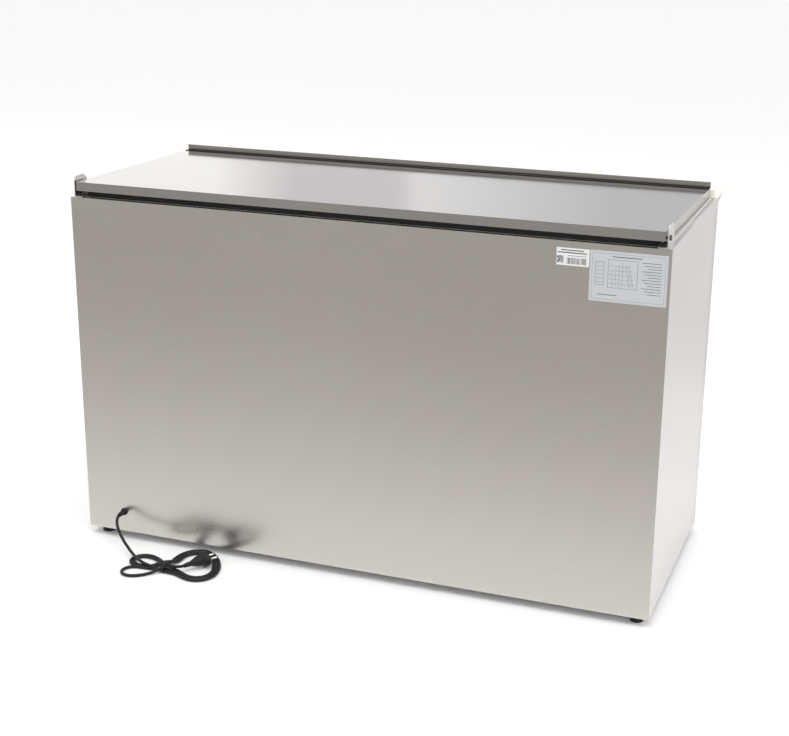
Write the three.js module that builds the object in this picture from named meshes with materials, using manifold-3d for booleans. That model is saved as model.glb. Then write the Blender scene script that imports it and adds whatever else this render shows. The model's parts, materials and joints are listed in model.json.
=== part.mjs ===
// A commercial chest freezer: a long stainless cabinet with one full-depth hinged lid, an insulated
// tank with sliding baskets, a machine bay at its right end and a work board along its front.
// Millimetres, +Z up, front towards -Y, floor at Z = 0, origin under the middle of the freezer.

import * as THREE from 'three';
import { mergeVertices } from 'three/addons/utils/BufferGeometryUtils.js';
import Module from 'manifold-3d';

const wasm = await Module();
wasm.setup();

// Driving sizes of the cabinet.
const width = 1365;
const bodyDepth = 560;
const boardReach = 140;
const panelHeight = 807;
const footHeight = 20;
const wall = 55;
const sheet = 1;
const gap = 0.3;
const flange = 12;
const machineBay = { width: 250, height: 280 };

// Driving sizes of the lid, its seal and its hinges.
const lid = {
  inset: 16, lip: 20, hem: 6, bulge: 6, bulgeGap: 40, backGap: 15, frontGap: 4,
};
const seal = { width: 16, frontInset: 3, backInset: 16, sideInset: 18, hookGap: 3 };
const hinge = {
  back: 14, drop: 14, pin: 3, headRadius: 6, plate: 2, length: 58, rise: 12, foot: 21, beside: 5,
};
const screw = { shank: 2.3, head: 5, hole: 2.7, fromFold: 8, back: [44, 24] };
const frontRail = { height: 14, foot: 18, top: 8 };

// Driving sizes of what is fitted to the cabinet.
const frontCover = { top: 25, sideReturn: 35 };
const board = { thickness: 20, rearGap: 3, corner: 8 };
const bracket = { inset: 6, thick: 3, foot: 20, drop: 22, reach: 110, pegRadius: 4, pegHeight: 8 };
const basket = {
  length: 300, depth: 245, wall: 3, hook: 8, hookThick: 2, endGap: 27, lidClearance: 4,
};
const foot = { radius: 15, pad: 12, neck: 8, stud: 5, studLength: 40, inset: 32 };
const coil = { radius: 4, turns: 4, pitch: 95, offset: 6, bend: 12, start: 75, riser: 26 };
const cordRadius = 3.5;
const gland = { inset: 96, height: 50, radius: 10, flange: 3, length: 22, tip: 5.5 };
const grille = { width: 228, height: 245, sill: 25, edge: 12, thick: 1.5 };
const sideVents = { count: 9, length: 150, height: 6, pitch: 18, low: 60, y: -20 };
const panVents = { count: 6, length: 120, width: 10, pitch: 32, first: 30, y: -140 };
const grilleVents = { count: 11, height: 6, pitch: 14, low: 22, margin: 24 };
const dial = { radius: 19, thick: 5, grip: 17, spindle: 3, bore: 3.2 };
const rockerSize = { halfLength: 10.4, halfHeight: 7, tilt: 0.14, set: 3 };

// Driving sizes of the refrigeration machine.
const compressorSize = { y: 130, radius: 78, lift: 26, height: 165, feet: 92, footInset: 12 };
const fanSize = { height: 148, radius: 82, hub: 22, blades: 5 };
const condenserSize = { halfWidth: 86, front: 28, depth: 42, lift: 22, headroom: 30, finPitch: 12, fin: 8 };
const drierSize = { right: 109, y: -60, radius: 9, low: 60, length: 100 };
const smallPipe = { radius: 3, bend: 7, joint: 0.4 };
const capillary = 1.5;
const suctionY = 110;
const capillaryY = 160;

// Places that follow from them.
const halfWidth = width / 2;
const backY = (bodyDepth + boardReach) / 2;
const frontY = backY - bodyDepth;
const baseZ = footHeight;
const rimZ = baseZ + panelHeight;
const skin = sheet + gap;
const tank = {
  x: halfWidth - wall, front: frontY + wall, back: backY - wall, floor: baseZ + wall, top: rimZ - 4,
};
const bayLeft = halfWidth - skin - machineBay.width;
const bayTop = baseZ + machineBay.height;
const step = { x: bayLeft - wall, z: bayTop + wall };
const panTop = baseZ + sheet + gap + 2;
const lidX = halfWidth - lid.inset;
const lidBottom = rimZ + lid.backGap;
const lidTop = lidBottom + lid.lip;
const sealFront = tank.front - basket.hook - seal.hookGap - seal.width;
const lidFront = sealFront - seal.frontInset;
const pivot = { y: backY - hinge.back, z: lidTop - hinge.drop };
const frontDrop = lid.backGap - lid.frontGap;
const lidTilt = Math.asin(frontDrop / (backY - lidFront));
const bayMid = (bayLeft + halfWidth) / 2;
const grilleLeft = bayMid - grille.width / 2;
const grilleSill = baseZ + grille.sill;
const boardFront = frontY - boardReach;
const boardBack = lidFront - board.rearGap;
const boardZ = rimZ + gap;
const footY = [frontY + foot.inset, backY - foot.inset];
const footX = halfWidth - foot.inset;
const drain = { x: -tank.x + 60, y: (tank.front + tank.back) / 2, radius: 12, bore: 9 };
const pegX = halfWidth - bracket.inset - 12;
const pegY = frontY - bracket.reach + 22;
const bracketX = lidX + hinge.beside;
const coilLow = step.z + 20;
const coilBottom = step.z + coil.start;
const coilOut = sheet + coil.offset;
const coilRiserX = halfWidth - skin - coil.riser;
const grilleY = frontY - gap - grille.thick;
const control = { z: grilleSill + grille.height - 36, knobX: bayMid - 62, switchX: bayMid + 62 };
const compressor = { x: bayMid, base: panTop + compressorSize.lift, ...compressorSize };
const fan = { z: baseZ + fanSize.height, ...fanSize };
const condenserBox = {
  x0: bayMid - condenserSize.halfWidth, x1: bayMid + condenserSize.halfWidth,
  y0: frontY + condenserSize.front, y1: frontY + condenserSize.front + condenserSize.depth,
  z0: panTop + condenserSize.lift, z1: bayTop - condenserSize.headroom,
};
const fanY = condenserBox.y1 + gap;
const drier = {
  x: bayMid + drierSize.right, y: drierSize.y, radius: drierSize.radius,
  z0: panTop + drierSize.low, z1: panTop + drierSize.low + drierSize.length,
};
const glandX = halfWidth - gland.inset;
const glandZ = baseZ + gland.height;
const leadStart = backY + gland.flange + gland.length + 2 * gap;

// ---- shapes -------------------------------------------------------------------------------

// A box between two opposite corners.
function box(x0, x1, y0, y1, z0, z1) {
  return new THREE.BoxGeometry(x1 - x0, y1 - y0, z1 - z0)
    .translate((x0 + x1) / 2, (y0 + y1) / 2, (z0 + z1) / 2);
}

// A box on one side of the Y-Z plane, between two distances from it.
function endBox(side, near, far, y0, y1, z0, z1) {
  return box(Math.min(side * near, side * far), Math.max(side * near, side * far), y0, y1, z0, z1);
}

// A cylinder along an axis ('x', 'y' or 'z') from one end to the other.
function rod(axis, radius, from, to, centre, sides = 24) {
  const shape = new THREE.CylinderGeometry(radius, radius, to - from, sides);
  if (axis === 'x') return shape.rotateZ(-Math.PI / 2).translate((from + to) / 2, centre[0], centre[1]);
  if (axis === 'y') return shape.translate(centre[0], (from + to) / 2, centre[1]);
  return shape.rotateX(Math.PI / 2).translate(centre[0], centre[1], (from + to) / 2);
}

// An outline in the Y-Z plane carried along X.
function alongX(outline, x0, x1) {
  const shape = new THREE.Shape(outline.map(([y, z]) => new THREE.Vector2(y, z)));
  const body = new THREE.ExtrudeGeometry(shape, { depth: x1 - x0, bevelEnabled: false });
  return body.rotateX(Math.PI / 2).rotateZ(Math.PI / 2).translate(x0, 0, 0);
}

// An outline in the X-Z plane carried along Y.
function alongY(outline, y0, y1) {
  const shape = new THREE.Shape(outline.map(([x, z]) => new THREE.Vector2(x, z)));
  const body = new THREE.ExtrudeGeometry(shape, { depth: y1 - y0, bevelEnabled: false });
  return body.rotateX(Math.PI / 2).translate(0, y1, 0);
}

// A shape in the X-Y plane, with its holes, raised along Z.
function alongZ(shape, z0, z1, curveSegments = 6) {
  const settings = { depth: z1 - z0, bevelEnabled: false, curveSegments };
  return new THREE.ExtrudeGeometry(shape, settings).translate(0, 0, z0);
}

// A rectangle with round corners, as a Shape.
function roundedRectangle(x0, x1, y0, y1, radius) {
  const shape = new THREE.Shape();
  shape.moveTo(x0 + radius, y0);
  shape.lineTo(x1 - radius, y0).absarc(x1 - radius, y0 + radius, radius, -Math.PI / 2, 0);
  shape.lineTo(x1, y1 - radius).absarc(x1 - radius, y1 - radius, radius, 0, Math.PI / 2);
  shape.lineTo(x0 + radius, y1).absarc(x0 + radius, y1 - radius, radius, Math.PI / 2, Math.PI);
  shape.lineTo(x0, y0 + radius).absarc(x0 + radius, y0 + radius, radius, Math.PI, 1.5 * Math.PI);
  return shape;
}

// A turned body about Z from [radius, height] pairs that start and end on the axis.
function turned(profile, sides = 24) {
  const points = profile.map(([r, z]) => new THREE.Vector2(r, z));
  return new THREE.LatheGeometry(points, sides).rotateX(Math.PI / 2);
}

// A round tube along a smooth curve through the points.
function tube(points, radius, steps, sides = 8) {
  const path = new THREE.CatmullRomCurve3(points.map((p) => new THREE.Vector3(...p)), false, 'centripetal');
  const settings = { extrudePath: path, steps, bevelEnabled: false };
  return new THREE.ExtrudeGeometry(polygon(radius, sides), settings);
}

// A regular polygon about the origin, as a Shape.
function polygon(radius, sides) {
  const corner = (i) => new THREE.Vector2(Math.cos(i), Math.sin(i)).multiplyScalar(radius);
  return new THREE.Shape(Array.from({ length: sides }, (_, i) => corner((i * 2 * Math.PI) / sides)));
}

// ---- joining and cutting ------------------------------------------------------------------

function solid(geometry) {
  const bare = geometry.clone();
  bare.deleteAttribute('normal');
  bare.deleteAttribute('uv');
  const merged = mergeVertices(bare, 1e-4);
  return new wasm.Manifold(new wasm.Mesh({
    numProp: 3,
    vertProperties: merged.attributes.position.array,
    triVerts: new Uint32Array(merged.index.array),
  }));
}

function geometryOf(body) {
  const mesh = body.getMesh();
  const geometry = new THREE.BufferGeometry();
  geometry.setAttribute('position', new THREE.BufferAttribute(mesh.vertProperties, 3));
  geometry.setIndex(new THREE.BufferAttribute(mesh.triVerts, 1));
  geometry.computeVertexNormals();
  return geometry;
}

// The first shape with the joined shapes added, and then the cut shapes taken away.
function made(first, joined = [], cuts = []) {
  let body = solid(first);
  for (const shape of joined) body = body.add(solid(shape));
  for (const shape of cuts) body = body.subtract(solid(shape));
  return geometryOf(body);
}

// A pipe of straight runs with round bends, through the corner points.
function pipe(corners, radius, bend, sides = 8) {
  const points = corners.map((p) => new THREE.Vector3(...p));
  const overlap = 0.4;
  const parts = [];
  let from = points[0];
  for (let i = 1; i < points.length; i += 1) {
    const along = points[i].clone().sub(points[i - 1]).normalize();
    const last = i === points.length - 1;
    const to = last ? points[i] : points[i].clone().addScaledVector(along, -bend);
    const start = i === 1 ? from : from.clone().addScaledVector(along, -overlap);
    const end = last ? to : to.clone().addScaledVector(along, overlap);
    parts.push(straight(start, end, radius, sides));
    if (!last) {
      const next = points[i + 1].clone().sub(points[i]).normalize();
      const out = points[i].clone().addScaledVector(next, bend);
      const elbow = new THREE.QuadraticBezierCurve3(to, points[i], out);
      const settings = { extrudePath: elbow, steps: 4, bevelEnabled: false };
      parts.push(new THREE.ExtrudeGeometry(polygon(radius, sides), settings));
      from = out;
    }
  }
  return made(parts[0], parts.slice(1));
}

// A straight rod between two points in space.
function straight(start, end, radius, sides) {
  const along = end.clone().sub(start);
  const turn = new THREE.Quaternion().setFromUnitVectors(
    new THREE.Vector3(0, 1, 0), along.clone().normalize());
  return new THREE.CylinderGeometry(radius, radius, along.length(), sides)
    .applyQuaternion(turn).translate(...start.clone().addScaledVector(along, 0.5).toArray());
}

// ---- the assembly -------------------------------------------------------------------------

const freezer = new THREE.Group();

const looks = {
  stainless: { color: 0xb9b5ae, metalness: 0.9, roughness: 0.35 },
  whitePaint: { color: 0xe9e6e2, metalness: 0.1, roughness: 0.4 },
  galvanised: { color: 0x9a9ea0, metalness: 0.8, roughness: 0.5 },
  blackRubber: { color: 0x161616, metalness: 0, roughness: 0.8 },
  blackPlastic: { color: 0x1c1c1d, metalness: 0, roughness: 0.6 },
  greyPlastic: { color: 0x4a4c4e, metalness: 0, roughness: 0.6 },
  whitePlastic: { color: 0xf2f0ea, metalness: 0, roughness: 0.5 },
  foam: { color: 0xe6d9a8, metalness: 0, roughness: 0.9 },
  copper: { color: 0xb87348, metalness: 0.9, roughness: 0.35 },
  blackPaint: { color: 0x202124, metalness: 0.3, roughness: 0.5 },
  wire: { color: 0xe8e8e6, metalness: 0.2, roughness: 0.4 },
  zinc: { color: 0xc9cbcc, metalness: 0.9, roughness: 0.3 },
  greenPlastic: { color: 0x2f9e4c, metalness: 0, roughness: 0.3 },
};

function place(name, geometry, look) {
  const mesh = new THREE.Mesh(geometry, new THREE.MeshStandardMaterial(looks[look]));
  mesh.name = name;
  freezer.add(mesh);
  return mesh;
}

// The cabinet's outer sheets: back, two sides, front cover and the rail over it.

function backPanel() {
  const y0 = backY - sheet;
  const y1 = y0 - flange;
  const outline = [[backY, baseZ], [backY, rimZ], [y1, rimZ], [y1, rimZ - sheet], [y0, rimZ - sheet],
    [y0, baseZ + sheet], [y1, baseZ + sheet], [y1, baseZ]];
  const hole = rod('y', gland.radius - 2 + gap, y0 - 1, backY + 1, [glandX, glandZ]);
  const sides = [-1, 1].map((s) => endBox(s, halfWidth - skin, halfWidth + 1, y1 - 1, y0, 0, rimZ + 1));
  return made(alongX(outline, -halfWidth, halfWidth), [], [hole, ...sides]);
}

function sidePanel(side) {
  const y1 = backY - skin;
  const low = frontY + frontCover.sideReturn + gap;
  const high = rimZ - frontCover.top;
  const outline = [[low, baseZ], [y1, baseZ], [y1, rimZ], [frontY, rimZ], [frontY, high], [low, high]];
  const flanges = [
    box(halfWidth - flange, halfWidth, frontY + sheet + flange + gap, y1 - flange, rimZ - sheet, rimZ),
    box(halfWidth - flange, halfWidth, low, y1 - flange, baseZ, baseZ + sheet),
  ];
  const slots = [];
  if (side > 0) {
    const { count, length, height, pitch, low: first, y } = sideVents;
    for (let i = 0; i < count; i += 1) {
      const z = baseZ + first + i * pitch;
      slots.push(box(halfWidth - 2 * sheet, halfWidth + sheet, y, y + length, z, z + height));
    }
  }
  const panel = made(alongX(outline, halfWidth - sheet, halfWidth), flanges, slots);
  return side > 0 ? panel : mirrored(panel);
}

// The same body on the other side of the Y-Z plane.
function mirrored(geometry) {
  const twin = geometry.clone().scale(-1, 1, 1);
  const index = twin.index.array;
  for (let i = 0; i < index.length; i += 3) [index[i], index[i + 1]] = [index[i + 1], index[i]];
  twin.computeVertexNormals();
  return twin;
}

function frontPanel() {
  const z1 = rimZ - frontCover.top - gap;
  const y1 = frontY + frontCover.sideReturn;
  const face = box(-halfWidth, halfWidth, frontY, frontY + sheet, baseZ, z1);
  const ends = [-1, 1].map((s) => endBox(s, halfWidth - sheet, halfWidth, frontY, y1, baseZ, z1));
  const hem = box(-halfWidth, halfWidth, frontY, frontY + flange, baseZ, baseZ + sheet);
  const opening = box(grilleLeft + grille.edge, grilleLeft + grille.width - grille.edge,
    frontY - 1, frontY + sheet + 1, grilleSill + grille.edge, grilleSill + grille.height - grille.edge);
  return made(face, [...ends, hem], [opening]);
}

function frontRailStrip() {
  const x = halfWidth - sheet - gap;
  const y1 = frontY + flange;
  const outline = [[frontY, rimZ - frontCover.top], [frontY, rimZ], [y1, rimZ], [y1, rimZ - sheet],
    [frontY + sheet, rimZ - sheet], [frontY + sheet, rimZ - frontCover.top]];
  return made(alongX(outline, -x, x));
}

// Inside the sheets: base pan, foam, tank and the plastic rim that closes the walls' tops.

function basePan() {
  const x = halfWidth - skin;
  const plate = box(-x, x, frontY + skin, backY - skin, panTop - 2, panTop);
  const holes = [];
  for (const s of [-1, 1]) for (const y of footY) {
    holes.push(rod('z', foot.stud + 0.2, panTop - 3, panTop + 1, [s * footX, y]));
  }
  holes.push(rod('z', drain.radius + gap, panTop - 3, panTop + 1, [drain.x, drain.y]));
  for (let i = 0; i < panVents.count; i += 1) {
    const x0 = bayLeft + panVents.first + i * panVents.pitch;
    holes.push(box(x0, x0 + panVents.width, panVents.y, panVents.y + panVents.length,
      panTop - 3, panTop + 1));
  }
  return made(plate, [], holes);
}

// The tank's outline in the X-Z plane, grown outwards by a distance: deep on the left, with a
// step over the machine bay on the right.
function tankOutline(grow, top) {
  return [[-tank.x - grow, tank.floor - grow], [step.x + grow, tank.floor - grow],
    [step.x + grow, step.z - grow], [tank.x + grow, step.z - grow], [tank.x + grow, top],
    [-tank.x - grow, top]];
}

function tankLiner() {
  const shell = alongY(tankOutline(sheet, tank.top), tank.front - sheet, tank.back + sheet);
  const rim = box(-tank.x - flange, tank.x + flange, tank.front - flange, tank.back + flange,
    tank.top - sheet, tank.top);
  const hollow = alongY(tankOutline(0, tank.top + 1), tank.front, tank.back);
  const outlet = rod('z', drain.radius + gap, tank.floor - 2, tank.floor + 1, [drain.x, drain.y]);
  return made(shell, [rim], [hollow, outlet]);
}

function topRim() {
  const x = halfWidth - flange - gap;
  const ring = box(-x, x, frontY + flange + gap, backY - sheet - flange - gap, tank.top + gap, rimZ);
  const mouth = box(-tank.x, tank.x, tank.front, tank.back, tank.top, rimZ + 1);
  return made(ring, [], [mouth]);
}

function foamInsulation() {
  const x = halfWidth - skin;
  const top = tank.top - sheet - gap;
  const block = box(-x, x, frontY + skin, backY - skin, panTop + gap, top);
  const grow = sheet + gap;
  const cuts = [
    alongY(tankOutline(grow, top + 1), tank.front - grow, tank.back + grow),
    box(bayLeft, x + 1, frontY, backY, baseZ, bayTop),
    coilSpace(),
    rod('z', drain.radius + gap, panTop, tank.floor, [drain.x, drain.y]),
    rod('z', coil.radius + gap, bayTop - 1, coilLow, [coilRiserX, suctionY]),
    rod('z', capillary + 1, bayTop - 1, coilLow, [coilRiserX, capillaryY]),
  ];
  for (const y of footY) {
    cuts.push(rod('z', foot.stud + 2, panTop, footHeight + foot.studLength + 5, [-footX, y]));
  }
  return made(block, [], cuts);
}

// The evaporator pipe, wound round the tank in the foam.

function coilSpace() {
  const reach = coilOut + coil.radius + 2;
  const top = coilBottom + coil.turns * coil.pitch + 15;
  return box(-tank.x - reach, coilRiserX + coil.radius + 2, tank.front - reach, tank.back + reach,
    coilLow, top);
}

function evaporatorCoil() {
  const x = tank.x + coilOut;
  const y0 = tank.front - coilOut;
  const y1 = tank.back + coilOut;
  const corners = [[coilRiserX, suctionY, coilLow + gap], [coilRiserX, suctionY, coilBottom - 40],
    [x, suctionY, coilBottom]];
  const rise = coil.pitch / 4;
  for (let i = 0; i < coil.turns; i += 1) {
    const z = coilBottom + i * coil.pitch;
    corners.push([x, y0, z + rise * 0.3], [-x, y0, z + rise], [-x, y1, z + 2 * rise],
      [x, y1, z + 3 * rise]);
  }
  const top = coilBottom + coil.turns * coil.pitch - coil.pitch / 4;
  corners.push([x, capillaryY, top + 10], [coilRiserX, capillaryY, top - 10],
    [coilRiserX, capillaryY, coilLow + gap]);
  return pipe(corners, coil.radius, coil.bend);
}

// The machine bay: its lining, and the refrigeration machine in it.

function bayLining() {
  const x0 = bayLeft + gap;
  const x1 = halfWidth - skin - gap;
  const z1 = bayTop - gap;
  const outline = [[x0, panTop + gap], [x0 + sheet, panTop + gap], [x0 + sheet, z1 - sheet],
    [x1, z1 - sheet], [x1, z1], [x0, z1]];
  const holes = [rod('z', coil.radius + gap, z1 - 3, z1 + 1, [coilRiserX, suctionY]),
    rod('z', capillary + 1, z1 - 3, z1 + 1, [coilRiserX, capillaryY])];
  return made(alongY(outline, frontY + 14, backY - flange - 5), [], holes);
}

function compressorShell() {
  const { radius, base, height } = compressor;
  const profile = [[0, base]];
  const curve = 4;
  for (let i = 0; i <= curve; i += 1) {
    const a = (i / curve) * (Math.PI / 2);
    profile.push([radius - 30 + 30 * Math.sin(a), base + 30 - 30 * Math.cos(a)]);
  }
  for (let i = 0; i <= curve; i += 1) {
    const a = (i / curve) * (Math.PI / 2);
    profile.push([(radius - 6) * Math.cos(a), base + height - 60 + 60 * Math.sin(a)]);
  }
  profile[profile.length - 1][0] = 0;
  const shell = turned(profile, 24).translate(compressor.x, compressor.y, 0);
  const weld = rod('z', radius + 3, base + 92, base + 98, [compressor.x, compressor.y], 24);
  const half = compressor.feet;
  const plate = box(compressor.x - half, compressor.x + half, compressor.y - 60, compressor.y + 60,
    base - 3, base + 4);
  const holes = mountPlaces().map((p) => rod('z', 6.3, base - 5, base + 6, p));
  return made(shell, [weld, plate], holes);
}

function mountPlaces() {
  const places = [];
  for (const sx of [-1, 1]) for (const sy of [-1, 1]) {
    places.push([compressor.x + sx * (compressor.feet - compressor.footInset), compressor.y + sy * 46]);
  }
  return places;
}

// A rubber mount: a grooved bush under the compressor's foot plate, its spigot through the plate.
function compressorMount(place2d) {
  const z0 = panTop + gap;
  const z1 = compressor.base - 3 - gap;
  return turned([[0, z0], [12, z0], [12, z0 + 7], [9, z0 + 11], [12, z0 + 15], [12, z1], [6, z1],
    [6, z1 + 16], [0, z1 + 16]], 14).translate(place2d[0], place2d[1], 0);
}

function terminalCover() {
  const y1 = compressor.y - compressor.radius - 4;
  const z0 = compressor.base + 30;
  const shape = roundedRectangle(compressor.x - 32, compressor.x + 32, y1 - 34, y1, 8);
  return alongZ(shape, z0, z0 + 55);
}

function condenser() {
  const c = condenserBox;
  const fins = [];
  const { fin, finPitch } = condenserSize;
  for (let x = c.x0 + fin; x < c.x1 - fin; x += finPitch) {
    fins.push(box(x, x + fin, c.y0 - 1, c.y0 + 14, c.z0 + 6, c.z1 - 6));
    fins.push(box(x, x + fin, c.y1 - 14, c.y1 + 1, c.z0 + 6, c.z1 - 6));
  }
  const legs = [-1, 1].map((s) => box(bayMid + s * 78 - 6, bayMid + s * 78 + 6, c.y0 + 10, c.y1 - 10,
    panTop + gap, c.z0 + 3));
  return made(box(c.x0, c.x1, c.y0, c.y1, c.z0, c.z1), legs, fins);
}

function fanShroud() {
  const y0 = fanY;
  const plate = box(bayMid - 96, bayMid + 96, y0, y0 + 2, fan.z - 98, fan.z + 98);
  const collar = rod('y', fan.radius + 8, y0, y0 + 34, [bayMid, fan.z], 32);
  const bore = rod('y', fan.radius + 5, y0 - 1, y0 + 35, [bayMid, fan.z], 32);
  const arms = [0, 1, 2].map((i) => {
    const reach = fan.radius + 6;
    return box(-4, 4, y0 + 30, y0 + 34, 26, reach)
      .rotateY((i * 2 * Math.PI) / 3).translate(bayMid, 0, fan.z);
  });
  const ring = made(rod('y', 30, y0 + 30, y0 + 34, [bayMid, fan.z], 24), [],
    [rod('y', 25.3, y0 + 29, y0 + 35, [bayMid, fan.z], 24)]);
  return made(made(plate, [collar], [bore]), [...arms, ring]);
}

function fanMotor() {
  const body = rod('y', 25, fanY + 28, fanY + 74, [bayMid, fan.z], 24);
  return made(body, [], [rod('y', 3.2, fanY + 27, fanY + 50, [bayMid, fan.z], 12)]);
}

// Five pitched blades on a hub, with the motor's spindle.
function fanBlades() {
  const y0 = fanY;
  const hub = rod('y', fan.hub, y0 + 8, y0 + 26, [bayMid, fan.z], 20);
  const spindle = rod('y', 3, y0 + 20, y0 + 48, [bayMid, fan.z], 12);
  const blades = [];
  for (let i = 0; i < fan.blades; i += 1) {
    const outline = new THREE.Shape([[-9, fan.hub - 3], [9, fan.hub - 3], [30, fan.radius - 4],
      [-16, fan.radius]].map((p) => new THREE.Vector2(...p)));
    blades.push(new THREE.ExtrudeGeometry(outline, { depth: 2, bevelEnabled: false })
      .rotateX(Math.PI / 2).rotateZ(0.4).rotateY((i * 2 * Math.PI) / fan.blades)
      .translate(bayMid, y0 + 17, fan.z));
  }
  return made(hub, [spindle, ...blades]);
}

// Refrigerant pipes in the bay.

function suctionTube() {
  const z = compressor.base + 110;
  return pipe([[compressor.x + compressor.radius - 4, suctionY, z - 30],
    [coilRiserX, suctionY, z - 30], [coilRiserX, suctionY, coilLow]], coil.radius, 12);
}

function dischargeTube() {
  const z = compressor.base + 60;
  const x = compressor.x - compressor.radius - 4;
  return pipe([[x, compressor.y, z], [x - 18, compressor.y, z], [x - 18, compressor.y, bayTop - 22],
    [x - 18, condenserBox.y1 - 21, bayTop - 22], [x - 2, condenserBox.y1 - 21, bayTop - 22],
    [x - 2, condenserBox.y1 - 21, condenserBox.z1 + smallPipe.joint]], smallPipe.radius, smallPipe.bend);
}

function filterDrier() {
  const { radius, z0, z1 } = drier;
  return turned([[0, z0], [3, z0], [3, z0 + 8], [radius, z0 + 18], [radius, z1 - 18], [3, z1 - 8],
    [3, z1], [0, z1]], 16).translate(drier.x, drier.y, 0);
}

function liquidTube() {
  const y = condenserBox.y0 + 20;
  return pipe([[condenserBox.x1 + smallPipe.joint, y, condenserBox.z0 + 20],
    [drier.x, y, condenserBox.z0 + 20], [drier.x, drier.y, condenserBox.z0 + 20],
    [drier.x, drier.y, drier.z0 - smallPipe.joint]], smallPipe.radius, smallPipe.bend);
}

function capillaryTube() {
  return pipe([[drier.x, drier.y, drier.z1 + smallPipe.joint], [drier.x, drier.y, bayTop - 30],
    [drier.x, capillaryY, bayTop - 30], [coilRiserX, capillaryY, bayTop - 30],
    [coilRiserX, capillaryY, coilLow]], capillary, smallPipe.bend, 6);
}

// The grille on the front of the bay, with the thermostat and the mains switch on it.

function frontGrille() {
  const x1 = grilleLeft + grille.width;
  const plate = box(grilleLeft, x1, grilleY, frontY - gap, grilleSill, grilleSill + grille.height);
  const cuts = [rod('y', 5.2, grilleY - 1, frontY, [control.knobX, control.z]),
    box(control.switchX - 14.3, control.switchX + 14.3, grilleY - 1, frontY, control.z - 11.3,
      control.z + 11.3)];
  const { count, height, pitch, low, margin } = grilleVents;
  for (let i = 0; i < count; i += 1) {
    const z = grilleSill + low + i * pitch;
    cuts.push(box(grilleLeft + margin, x1 - margin, grilleY - 1, frontY, z, z + height));
  }
  return made(plate, [], cuts);
}

function thermostatBody() {
  const body = box(control.knobX - 18, control.knobX + 18, frontY + 2, frontY + 26,
    control.z - 18, control.z + 18);
  return made(body, [rod('y', dial.spindle, grilleY - 9, frontY + 3, [control.knobX, control.z], 12)]);
}

// A dial with a flat grip across it, bored for the thermostat's spindle.
function thermostatKnob() {
  const y1 = grilleY - 1;
  const skirt = rod('y', dial.radius, y1 - dial.thick, y1, [control.knobX, control.z], 32);
  const grip = box(control.knobX - 4, control.knobX + 4, y1 - dial.grip, y1 - dial.thick + 1,
    control.z - dial.grip, control.z + dial.grip);
  const bore = rod('y', dial.bore, y1 - 10, y1 + 1, [control.knobX, control.z], 12);
  return made(skirt, [grip], [bore]);
}

function switchHousing() {
  const { switchX: x, z } = control;
  const body = box(x - 14, x + 14, grilleY - 1, frontY + 22, z - 11, z + 11);
  const bezel = box(x - 17, x + 17, grilleY - 2.5, grilleY - gap, z - 14, z + 14);
  return made(body, [bezel], [box(x - 11, x + 11, grilleY - 4, frontY + 11, z - 8.5, z + 8.5)]);
}

// The rocker: two shallow ramps that meet over its pivot, resting with its lower half pressed.
function powerRocker() {
  const { halfLength, halfHeight: h, tilt, set } = rockerSize;
  const outline = [[-6, -h], [6, -h], [6, h], [-6, h], [-4, 0]];
  const body = alongX(outline, control.switchX - halfLength, control.switchX + halfLength);
  return body.rotateX(tilt).translate(0, grilleY + set, control.z);
}

// Drain: a short pipe through the floor, and the plug that closes it from inside the tank.

function drainPipe() {
  const { x, y, radius, bore } = drain;
  return made(rod('z', radius, baseZ + 4, tank.floor - sheet, [x, y]), [],
    [rod('z', bore, baseZ, tank.floor + 1, [x, y])]);
}

function drainPlug() {
  const z = tank.floor + gap;
  return turned([[0, z - 20], [drain.bore - 1.2, z - 20], [drain.bore - 0.5, z - 1], [drain.bore - 0.5, z],
    [17, z], [17, z + 4], [5, z + 6], [5, z + 14], [8, z + 16], [8, z + 20], [0, z + 20]], 24)
    .translate(drain.x, drain.y, 0);
}

// Levelling foot: a rubber-shod pad on a threaded stud.
function levellingFoot(x, y) {
  return turned([[0, 0], [foot.radius - 1, 0], [foot.radius, 1.5], [foot.radius, foot.pad - 3],
    [foot.radius - 3, foot.pad], [foot.neck, foot.pad], [foot.neck, footHeight - 0.8],
    [foot.stud, footHeight - 0.8], [foot.stud, footHeight + foot.studLength],
    [0, footHeight + foot.studLength]], 18).translate(x, y, 0);
}

// Hinges: an angle plate on each rear corner, with a headed pin into the lid's side lip.

function hingeBracket(side) {
  const x0 = bracketX;
  const y0 = backY - 2 - hinge.length;
  const y1 = backY - 2;
  const top = lidTop + hinge.rise;
  const cut = 10;
  const z0 = rimZ + gap;
  const outline = [[y0, z0], [y1, z0], [y1, top - cut], [y1 - 3, top - 3], [y1 - cut, top],
    [y0 + 2 * cut, top], [y0 + 6, top - cut], [y0, top - 3 * cut]];
  const plate = alongX(outline, x0, x0 + hinge.plate);
  const base = box(x0 + hinge.plate - hinge.foot, x0 + hinge.plate, y0, y1, z0, z0 + hinge.plate);
  const holes = [rod('x', hinge.pin + 0.2, x0 - 2, x0 + hinge.plate + 2, [pivot.y, pivot.z])];
  for (const p of screwPlaces()) holes.push(rod('z', screw.hole, z0 - 1, z0 + hinge.plate + 1, p, 16));
  const body = made(plate, [base], holes);
  return side > 0 ? body : mirrored(body);
}

function screwPlaces() {
  const x = bracketX + hinge.plate - hinge.foot + screw.fromFold;
  return screw.back.map((distance) => [x, backY - distance]);
}

// A pan-head screw that holds a hinge foot; its shank ends over the rim.
function hingeScrew(side, place2d) {
  const z = rimZ + gap + hinge.plate + gap;
  const { shank, head } = screw;
  return turned([[0, rimZ + gap], [shank, rimZ + gap], [shank, z], [head, z], [head, z + 1.4],
    [head - 1.6, z + 2.6], [0, z + 3]], 12).translate(side * place2d[0], place2d[1], 0);
}

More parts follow.
